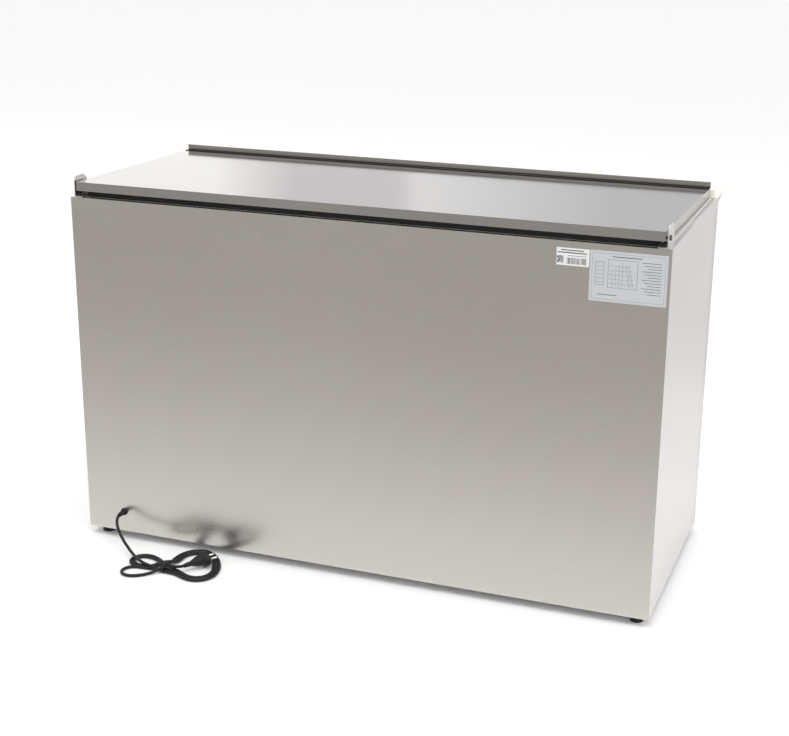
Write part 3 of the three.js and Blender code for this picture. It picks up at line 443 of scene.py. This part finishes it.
for side in (-1, 1):
    pin_verts, pin_faces = turned([(2.4, 59), (2.4, 77.4), (1.8, 79), (1.0, 79.4)], 20)
    pin_verts = (pin_verts + (side * pin_offset, 0, 0)) @ np.array(plug_turns.to_3x3()).T + plug_tail
    pin_shapes.append((pin_verts, pin_faces))
plug_pins = new_piece("mains_plug_pins", *joined(*pin_shapes), steel_pin, "cabinet", "zinc_plate")
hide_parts("power_plug")

# The relief: a flange against the panel and a ribbed taper round the lead.
taper = np.linspace(0, 1, 50)
relief = [(7.4, -6), (7.4, 0.3), (8.2, 0.3), (8.8, 0.9), (8.8, 2.0), (8.0, 2.6)]
relief += [(6.6 - 2.0 * t + 0.24 * math.cos(t * 44), 3.0 + 21.0 * t) for t in taper] + [(4.0, 24.9)]
outwards = Matrix.Rotation(-math.pi / 2, 4, "X")
relief_piece = new_piece(
    "lead_relief", *turned(relief, 32, (gland_x, back_high[1], gland_z), outwards),
    moulded, "cabinet", "black_rubber")
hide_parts("cable_gland")

# The tie: a flat black strap wound round the crossing strands.
tie_steps, tie_middle, tie_half_wide, tie_half_tall = 48, 8.4, 19.0, 8.0
tie_angle = np.linspace(0, 2 * np.pi, tie_steps, endpoint=False)
tie_across, tie_up = np.cos(tie_angle), np.sin(tie_angle)
tie_ring = np.stack([
    np.zeros(tie_steps), tie_half_wide * np.sign(tie_across) * abs(tie_across) ** 0.6,
    tie_middle + tie_half_tall * np.sign(tie_up) * abs(tie_up) ** 0.7], axis=1)
tie_section = [(-4, 0), (-3.4, 0.9), (3.4, 0.9), (4, 0), (3.4, -0.5), (-3.4, -0.5)]
tie_out = tie_ring - (0, 0, tie_middle)
tie_out /= np.linalg.norm(tie_out, axis=1, keepdims=True)
tie_verts = np.stack([tie_ring + (a, 0, 0) + tie_out * b for a, b in tie_section], axis=1)
sides, last_row = len(tie_section), (tie_steps - 1) * len(tie_section)
tie_faces = grid_faces(tie_steps, sides).tolist()
tie_faces += [[last_row + j, last_row + (j + 1) % sides, (j + 1) % sides, j] for j in range(sides)]
tie_place = (5, -2, 0)
lead_tie = new_piece("lead_tie", (tie_verts.reshape(-1, 3) + tie_place) * MM + pinch, tie_faces, moulded,
                     "cabinet", "black_plastic")
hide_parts("cord_tie")


# ---- Outer cabinet ----
# Folded stainless sheets with the grain along the cabinet: a flat back, two ends, a front cover
# with short returns and a rail over it. Bent edges have a small radius.
def steel(name, tint, along="x", rough=0.3, grain=1.0):
    """Brushed stainless: a grey metal with fine scratches along one axis and faint wide bands."""
    finish = Finish(name, Base_Color=(*tint, 1), Metallic=1.0, Roughness=rough, Anisotropic=0.45)
    stretch = {"x": (1, 90, 90), "y": (90, 1, 90), "z": (90, 90, 1)}[along]
    scratches = finish.noise(0.04, detail=6, scale=stretch, rough=0.65)
    bands = finish.noise(0.35, detail=2, scale=tuple(0.25 if s == 1 else 1 for s in stretch))
    smudges = finish.noise(0.12, detail=4)
    low, high = (*(c * 0.965 for c in tint), 1), (*(min(1, c * 1.03) for c in tint), 1)
    finish.feed("Base Color", finish.mix(scratches * 0.5 + bands * 0.5, low, high))
    finish.feed("Roughness", rough - 0.05 + bands * 0.04 + smudges * 0.05 + scratches * 0.04 * grain)
    finish.bump(scratches, 0.000008 * grain)
    return finish


def edged(node, width, finish, segments=2, angle=35):
    """A piece with the node's own shape and its sharp edges rounded to a width."""
    source = frame["nodes"][node]
    mesh = source.data.copy()
    mesh.name = node + "_sheet"
    mesh.materials.clear()
    mesh.materials.append(finish.material)
    work = bmesh.new()
    work.from_mesh(mesh)
    bmesh.ops.remove_doubles(work, verts=work.verts, dist=1e-6)
    bmesh.ops.dissolve_limit(work, angle_limit=math.radians(0.5), verts=work.verts, edges=work.edges)
    for face in work.faces:
        face.smooth = True
        face.material_index = 0
    work.to_mesh(mesh)
    work.free()
    mesh.set_sharp_from_angle(angle=math.radians(angle))
    thing = bpy.data.objects.new(node + "_made", mesh)
    bpy.context.scene.collection.objects.link(thing)
    if width:
        rounding = thing.modifiers.new("edges", "BEVEL")
        rounding.width, rounding.segments = width, segments
        rounding.limit_method, rounding.angle_limit = "ANGLE", math.radians(angle)
        rounding.harden_normals = True
        rounding.use_clamp_overlap = True
    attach(thing, body_of[node])
    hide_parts(node)
    return thing


body_of = {n: body for body, nodes in frame["record"]["behaviour"]["bodies"].items() for n in nodes}
back_steel = steel("steel_back", (0.63, 0.612, 0.585), rough=0.27, grain=0.4)
end_steel = steel("steel_ends", (0.69, 0.675, 0.672), along="y", rough=0.4)
front_steel = steel("steel_front", (0.63, 0.612, 0.585), rough=0.3)
edged("back_panel", 0.0007, back_steel)
edged("left_side_panel", 0.0004, end_steel)
edged("right_side_panel", 0.0004, end_steel)
edged("front_panel", 0.0004, front_steel)
edged("front_rail", 0.0004, front_steel)


# ---- Stickers ----
# Two thin white paper labels near the top corner of the back: a small one with a bar strip and a
# square of dots, and a larger bluish sheet with a plain diagram. They carry marks but no words.
def flat_marks(rects, y):
    """Faces standing in the X-Z plane: one for each (x0, x1, z0, z1), in metres."""
    r = np.asarray(rects, float)
    corners = r[:, [1, 2, 0, 2, 0, 3, 1, 3]].reshape(-1, 4, 2)
    verts = np.stack([corners[..., 0], np.full(corners.shape[:2], y), corners[..., 1]], axis=-1)
    return verts.reshape(-1, 3), np.arange(len(r) * 4).reshape(-1, 4)


def slab(x0, x1, z0, z1, y0, y1, corner):
    """A thin plate with round corners and slightly eased edges, standing in the X-Z plane."""
    angle = np.linspace(0, 2 * np.pi, 32, endpoint=False)
    quarter = np.stack([np.sign(np.cos(angle + 1e-4)), np.sign(np.sin(angle + 1e-4))], axis=1)
    middle = np.array(((x0 + x1) / 2, (z0 + z1) / 2))
    half = np.array(((x1 - x0) / 2, (z1 - z0) / 2))
    ring = np.stack([np.cos(angle), np.sin(angle)], axis=1)
    rows = []
    ease = (y1 - y0) * 0.3
    for inset, y in ((ease, y0), (0, y0 + ease), (0, y1 - ease), (ease, y1)):
        flat = middle + quarter * (half - corner) + ring * (corner - inset)
        rows.append(np.stack([flat[:, 0], np.full(32, y), flat[:, 1]], axis=1))
    faces = grid_faces(4, 32)[:, ::-1].tolist() + [list(range(32)), list(range(96, 128))[::-1]]
    return np.vstack(rows), faces


paper = Finish("label_paper", Base_Color=(0.66, 0.66, 0.65, 1), Roughness=0.35)
paper.feed("Roughness", 0.3 + paper.noise(0.004) * 0.12)
paper.bump(paper.noise(0.02, detail=2), 0.00005)
blue_paper = Finish("label_blue_paper", Base_Color=(0.46, 0.475, 0.50, 1), Roughness=0.3)
blue_paper.feed("Base Color", blue_paper.mix(
    blue_paper.noise(0.05), (0.45, 0.465, 0.49, 1), (0.475, 0.49, 0.515, 1)))
blue_paper.bump(blue_paper.noise(0.03, detail=2), 0.00006)
ink = Finish("label_ink", Base_Color=(0.05, 0.05, 0.06, 1), Roughness=0.5)
ink.feed("Base Color", ink.mix(ink.noise(0.003), (0.04, 0.04, 0.05, 1), (0.09, 0.09, 0.1, 1)))
pale_ink = Finish("label_pale_ink", Base_Color=(0.10, 0.105, 0.12, 1), Roughness=0.5)
pale_ink.feed("Base Color", pale_ink.mix(
    pale_ink.noise(0.003), (0.08, 0.085, 0.10, 1), (0.14, 0.145, 0.16, 1)))
back_y, paper_thick, clear = back_high[1], 0.00025, 0.00003
ink_y = back_y + paper_thick + 2 * clear
small = dict(x0=-0.517, x1=-0.449, z0=0.7766, z1=0.8129)
large = dict(x0=-0.676, x1=-0.5185, z0=0.709, z1=0.8139)
new_piece("small_label", *slab(**small, y0=back_y + clear, y1=back_y + paper_thick, corner=0.0015), paper,
          "cabinet", "white_plastic", smooth=False)
new_piece("large_label", *slab(**large, y0=back_y + clear, y1=back_y + paper_thick, corner=0.002),
          blue_paper, "cabinet", "white_plastic", smooth=False)
draw = np.random.default_rng(4)
dots, cell = 12, 0.00125
dot_left, dot_low = -0.4645, 0.7815
on = draw.random((dots, dots)) < 0.62
column, row = np.nonzero(on)
dot_rects = np.stack([dot_left + column * cell, dot_left + (column + 1) * cell,
                      dot_low + row * cell, dot_low + (row + 1) * cell], axis=1)
bar_edges = -0.512 + np.cumsum(draw.uniform(0.0004, 0.0016, 52))
bar_edges = bar_edges[bar_edges < -0.4705][:42]
bars = np.array([(bar_edges[i], bar_edges[i + 1], 0.780, 0.793) for i in range(0, len(bar_edges) - 1, 2)])
rules = np.array([
    (-0.512, -0.4725, 0.7965, 0.7975), (-0.512, -0.452, 0.802, 0.8042), (-0.505, -0.458, 0.8072, 0.8092)])
new_piece("small_label_marks", *flat_marks(np.vstack([dot_rects, bars, rules]), ink_y), ink, "cabinet",
          "black_plastic", smooth=False)


def outline(x0, x1, z0, z1, w):
    """Four thin rectangles round a rectangle."""
    return [(x0, x1, z0, z0 + w), (x0, x1, z1 - w, z1),
            (x0, x0 + w, z0 + w, z1 - w), (x1 - w, x1, z0 + w, z1 - w)]


sheet_wide, sheet_tall = (large["x1"] - large["x0"]) / MM, (large["z1"] - large["z0"]) / MM
line_width = 0.7
diagram = outline(5, sheet_wide - 5, 5, sheet_tall - 5, 0.4)
diagram += outline(60, 120, 30, 88, line_width)
for i in range(5):
    box_x, box_z = 68 + 2 * i, 36 + 9 * i
    diagram += outline(box_x, box_x + 10, box_z, box_z + 5, line_width)
    diagram.append((box_x + 12, 118, box_z + 2.5, box_z + 3))
for i in range(4):
    diagram.append((90 + 7 * i, 90.5 + 7 * i, 34, 84 - 6 * i))
for i in range(12):
    diagram.append((12, 40 + 6 * (i % 3), 22 + 5.8 * i, 23.2 + 5.8 * i))
diagram += outline(128, 146, 34, 82, line_width)
for i in range(5):
    diagram.append((130, 144, 40 + 8 * i, 40.7 + 8 * i))
diagram += [(52, 112, 93, 94.8), (100, 140, 14, 15.5)]
diagram = np.array(diagram) * MM + (large["x0"], large["x0"], large["z0"], large["z0"])
new_piece("large_label_marks", *flat_marks(diagram, ink_y), pale_ink, "cabinet", "black_plastic",
          smooth=False)


# ---- Lid ----
# A shallow stainless tray, foamed inside, closed underneath by a liner with a raised middle. A
# dark magnetic seal runs round it, and an angle rail stands along its front edge. The rail's steel
# is tinted dark as a painted reflection, with a near-black painted shadow along its foot.
lid_steel = steel("steel_lid", (0.52, 0.51, 0.505), rough=0.12, grain=0.5)
# Painted reflection: the rail's steel is tinted far darker than the other panels, standing in for the dark
# surroundings its face mirrors.
rail_steel_painted_shade = steel("steel_lid_rail_painted_shade", (0.30, 0.285, 0.265), rough=0.3)
rail_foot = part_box("lid_front_rail")[0][2]
rail_grain_painted_dark = rail_steel_painted_shade.mix(rail_steel_painted_shade.noise(0.02), (0.28, 0.265, 0.245, 1), (0.31, 0.295, 0.275, 1))
# Painted shadow: within 2.2 mm of the rail's foot the colour turns near black, standing for the contact shade
# where the rail meets the lid.
rail_steel_painted_shade.feed("Base Color", rail_steel_painted_shade.mix(
    rail_steel_painted_shade.axis(2) < rail_foot + 2.2 * MM, rail_grain_painted_dark, (0.035, 0.033, 0.03, 1)))
liner_steel = steel("steel_liner", (0.74, 0.74, 0.73), rough=0.4)
edged("lid_skin", 0.0008, lid_steel, segments=3)
edged("lid_front_rail", 0.0003, rail_steel_painted_shade)
edged("lid_liner", 0.0004, liner_steel)
seal_rubber = Finish("lid_seal", Base_Color=(0.03, 0.03, 0.032, 1), Roughness=0.55)
seal_rubber.feed("Roughness", 0.5 + seal_rubber.noise(0.004) * 0.15)
seal_rubber.bump(seal_rubber.noise(0.002), 0.00003)
seal_low, seal_high = (np.array(p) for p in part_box("lid_gasket"))
seal_tall = seal_high[2] - seal_low[2]
seal_wide, fold_depth = 16 * MM, 2.2 * MM
ridge = np.linspace(0, 1, 25)
folds = fold_depth * np.sin(ridge * np.pi * 3) ** 2
bellows = np.concatenate([
    np.stack([folds, ridge * seal_tall], axis=1),
    np.stack([seal_wide - folds, (1 - ridge) * seal_tall], axis=1)])


def rect_sweep(profile, low, high, squash_front):
    """A closed profile of (inset, height) carried round a rectangle, mitred at its four corners.

    Heights shrink evenly from the back to squash_front of their size at the front."""
    rows = []
    for sx, sy in ((-1, -1), (1, -1), (1, 1), (-1, 1)):
        x = (low[0] if sx < 0 else high[0]) - sx * profile[:, 0]
        y = (low[1] if sy < 0 else high[1]) - sy * profile[:, 0]
        share = squash_front + (1 - squash_front) * (y - low[1]) / (high[1] - low[1])
        rows.append(np.stack([x, y, low[2] + profile[:, 1] * share], axis=1))
    n = len(profile)
    faces = grid_faces(4, n).tolist() + [[3 * n + j, 3 * n + (j + 1) % n, (j + 1) % n, j] for j in range(n)]
    return np.vstack(rows), faces


seal_co = np.array([v.co for v in frame["nodes"]["lid_gasket"].data.vertices])
front_tall = seal_co[seal_co[:, 1] < seal_low[1] + 0.002][:, 2].max() - seal_low[2]
seal_shape = rect_sweep(bellows, seal_low, seal_high, front_tall / seal_tall)
seal = new_piece("lid_seal_ring", *seal_shape, seal_rubber, "lid", "black_rubber")
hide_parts("lid_gasket")


# ---- Tank ----
# A folded stainless liner with a step over the machine bay, a white plastic rim over the walls'
# tops, foam behind it, and a stopper with a ring pull in the floor.
white = Finish("white_moulding", Base_Color=(0.80, 0.79, 0.76, 1), Roughness=0.4)
white.feed("Roughness", 0.34 + white.noise(0.003) * 0.14)
white.feed("Base Color", white.mix(white.noise(0.2), (0.78, 0.77, 0.735, 1), (0.83, 0.82, 0.79, 1)))
foam = Finish("foam", Base_Color=(0.78, 0.68, 0.42, 1), Roughness=0.9)
cells = foam.node("ShaderNodeTexVoronoi", Vector=foam.place(), Scale=900.0)
foam.feed("Base Color", foam.mix(cells, (0.72, 0.62, 0.36, 1), (0.84, 0.75, 0.50, 1))).bump(cells, 0.0002)
edged("tank_liner", 0.0006, liner_steel)
edged("top_rim", 0.0006, white)
for node in ("foam_insulation", "lid_foam"):
    edged(node, 0, foam)
edged("drain_plug", 0.0004, moulded)
edged("drain_pipe", 0.0003, moulded)


# ---- Baskets ----
# Welded wire under a white coat: bent wires across, straight wires along, and a thicker wire round
# the mouth. The bent wires' ends hook over the tank's rim.
def bent(corners, radius, steps=7):
    """A line through the corners with each corner replaced by a round bend."""
    p = np.asarray(corners, float)
    line = [p[0]]
    for a, b, c in zip(p[:-2], p[1:-1], p[2:]):
        into, out = (a - b) / np.linalg.norm(a - b), (c - b) / np.linalg.norm(c - b)
        t = np.linspace(0, 1, steps)[:, None]
        line += list((1 - t) ** 2 * (b + into * radius) + 2 * t * (1 - t) * b + t ** 2 * (b + out * radius))
    return np.array(line + [p[-1]])


coat = Finish("wire_coat", Base_Color=(0.80, 0.80, 0.79, 1), Roughness=0.38)
coat.feed("Roughness", 0.32 + coat.noise(0.003) * 0.14).bump(coat.noise(0.0015), 0.00004)
wire, thick_wire = 1.6 * MM, 2.4 * MM
hook_reach, end_inset, top_drop = 12.5 * MM, 12 * MM, 2.2 * MM
for side in ("left", "right"):
    low, high = (np.array(p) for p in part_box(side + "_basket"))
    hook_y0, hook_y1 = low[1] + wire, high[1] - wire
    y0, y1 = low[1] + hook_reach, high[1] - hook_reach
    z0, z1 = low[2] + wire, high[2] - top_drop
    shapes = []
    for x in np.linspace(low[0] + end_inset, high[0] - end_inset, 12):
        hoop = [(x, hook_y0, z1), (x, y0, z1), (x, y0, z0), (x, y1, z0), (x, y1, z1), (x, hook_y1, z1)]
        line = bent(hoop, 6 * MM)
        shapes.append(swept(line, np.full(len(line), wire * 0.9), 8))
    end_top = z1 - 24 * MM
    x0, x1 = low[0] + wire, high[0] - wire
    floor_z = z0 + 2 * wire
    for y in np.linspace(y0 + 30 * MM, y1 - 30 * MM, 11):
        line = bent([(x0, y, end_top), (x0, y, floor_z), (x1, y, floor_z), (x1, y, end_top)], 8 * MM)
        shapes.append(swept(line, np.full(len(line), wire), 8))
    for z in (z0 + 60 * MM, z0 + 120 * MM, z0 + 180 * MM, end_top):
        inner = 2 * wire
        loop = np.array([(low[0] + inner, y0 + inner, z), (high[0] - inner, y0 + inner, z),
                         (high[0] - inner, y1 - inner, z), (low[0] + inner, y1 - inner, z)])
        radius = thick_wire if z == end_top else wire
        for a, b in zip(loop, np.roll(loop, -1, axis=0)):
            line = np.linspace(a, b, 6)
            shapes.append(swept(line, np.full(6, radius), 8))
    basket = new_piece(side + "_wire_basket", *joined(*shapes), coat, side + "_basket_body", "coated_wire")
    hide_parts(side + "_basket")


# ---- Hinges ----
# Bent zinc plates at the back corners, each held by two screws, with a shouldered pin into the
# lid's end. The screws and pin are coloured near black as painted shade for their holes.
zinc = Finish("zinc", Base_Color=(0.70, 0.70, 0.69, 1), Metallic=1.0, Roughness=0.28)
zinc_cloud = zinc.noise(0.01, detail=4)
zinc.feed("Roughness", 0.2 + zinc_cloud * 0.18)
zinc.feed("Base Color", zinc.mix(zinc_cloud, (0.64, 0.64, 0.62, 1), (0.74, 0.74, 0.74, 1)))
# Painted shade: screws and pins are coloured near black to stand for the shade in the holes they sit in.
bolt_painted_hole_shade = Finish("bolt_painted_hole_shade", Base_Color=(0.10, 0.10, 0.10, 1), Metallic=1.0, Roughness=0.4)
bolt_painted_hole_shade.feed("Roughness", 0.34 + bolt_painted_hole_shade.noise(0.002) * 0.16)
for side in ("left", "right"):
    edged(side + "_hinge_bracket", 0.0003, zinc)
    edged(side + "_hinge_pin", 0.0003, bolt_painted_hole_shade)
    for number in ("1", "2"):
        edged(f"{side}_hinge_screw_{number}", 0.0003, bolt_painted_hole_shade)


# ---- Work board ----
# A white plastic board along the front. It drops over a peg on each of two folded steel brackets,
# which are fixed to the front cover near its ends.
cutting_white = Finish("board_plastic", Base_Color=(0.82, 0.80, 0.73, 1), Roughness=0.5)
knife_marks = cutting_white.noise(0.02, detail=5, scale=(1, 14, 1))
cutting_white.feed("Roughness", 0.42 + knife_marks * 0.16).bump(knife_marks, 0.00004)
cutting_white.feed("Base Color", cutting_white.mix(
    cutting_white.noise(0.3), (0.80, 0.78, 0.70, 1), (0.84, 0.82, 0.76, 1)))
edged("work_board", 0.0018, cutting_white, segments=3)
for side in ("left", "right"):
    edged(side + "_board_bracket", 0.0004, front_steel)


# ---- Controls and grille ----
# At the front's right end: a dark grey moulded grille, a thermostat with a ridged black knob and a
# green rocker switch in a black housing.
black_paint = Finish("black_paint", Base_Color=(0.03, 0.03, 0.032, 1), Roughness=0.4)
black_paint.feed("Roughness", 0.34 + black_paint.noise(0.002) * 0.16).bump(black_paint.noise(0.0012), 0.00005)
grey_moulding = Finish("grey_moulding", Base_Color=(0.06, 0.062, 0.066, 1), Roughness=0.5)
grey_moulding.feed("Roughness", 0.44 + grey_moulding.noise(0.001) * 0.16)
grey_moulding.bump(grey_moulding.noise(0.0008), 0.00004)
green = Finish("green_rocker", Base_Color=(0.02, 0.34, 0.07, 1), Roughness=0.25, Coat_Weight=0.4)
green.feed("Base Color", green.mix(green.noise(0.02), (0.015, 0.30, 0.06, 1), (0.025, 0.38, 0.085, 1)))
edged("front_grille", 0.0004, grey_moulding)
edged("thermostat_body", 0.0006, moulded)
edged("thermostat_knob", 0.0005, moulded)
edged("switch_housing", 0.0006, moulded)
edged("power_rocker", 0.0005, green)


# ---- Cold system ----
# In the machine bay: a black painted hermetic compressor on rubber mounts, a finned condenser with
# its fan, a copper drier and the copper tubes that join them to the coil round the tank.
copper = Finish("copper", Base_Color=(0.78, 0.42, 0.27, 1), Metallic=1.0, Roughness=0.3)
tarnish = copper.noise(0.015, detail=5)
copper.feed("Base Color", copper.mix(tarnish, (0.80, 0.45, 0.30, 1), (0.58, 0.30, 0.19, 1)))
copper.feed("Roughness", 0.22 + tarnish * 0.25)
galvanised = Finish("galvanised", Base_Color=(0.52, 0.53, 0.54, 1), Metallic=0.9, Roughness=0.45)
spangle = galvanised.node("ShaderNodeTexVoronoi", Vector=galvanised.place(), Scale=70.0)
galvanised.feed("Roughness", 0.36 + spangle * 0.25)
galvanised.feed("Base Color", galvanised.mix(spangle, (0.50, 0.51, 0.52, 1), (0.60, 0.61, 0.62, 1)))
# Painted fin stripes along X: the dark stripes are painted shade in the gaps between fins and the paler ones
# painted light on the fin edges, with a bump to match.
fins = Finish("condenser_fins", Base_Color=(0.10, 0.10, 0.10, 1), Metallic=0.6, Roughness=0.5)
fin_pitch = 3 * MM
fin_wave = (fins.axis(0) * (2 * math.pi / fin_pitch)).function("SINE") * 0.5 + 0.5
fins.feed("Base Color", fins.mix(fin_wave, (0.03, 0.03, 0.032, 1), (0.22, 0.22, 0.22, 1)))
fins.bump(fin_wave, 0.0008)
for node, width, finish, slot_name in (
        ("base_pan", 0.0004, galvanised, "galvanised_sheet"),
        ("machine_bay_lining", 0.0004, galvanised, "galvanised_sheet"),
        ("evaporator_coil", 0, copper, "copper_pipe"),
        ("suction_tube", 0, copper, "copper_pipe"),
        ("discharge_tube", 0, copper, "copper_pipe"),
        ("liquid_tube", 0, copper, "copper_pipe"),
        ("capillary_tube", 0, copper, "copper_pipe"),
        ("filter_drier", 0.0004, copper, "copper_pipe"),
        ("compressor", 0.0008, black_paint, "black_paint"),
        ("terminal_cover", 0.0008, moulded, "black_plastic"),
        ("condenser", 0.0005, fins, "black_paint"),
        ("fan_shroud", 0.0004, black_paint, "black_paint"),
        ("fan_motor", 0.0005, black_paint, "black_paint"),
        ("fan_blades", 0.0003, moulded, "black_plastic"),
        *((f"compressor_mount_{i}", 0.0006, rubber, "black_rubber") for i in range(1, 5))):
    edged(node, width, finish)


# ---- Feet ----
# Four black moulded levelling feet, each with a round pad on a threaded stud that screws into the
# base pan.
for place_name in ("front_left", "front_right", "back_left", "back_right"):
    edged("levelling_foot_" + place_name, 0.0008, moulded)
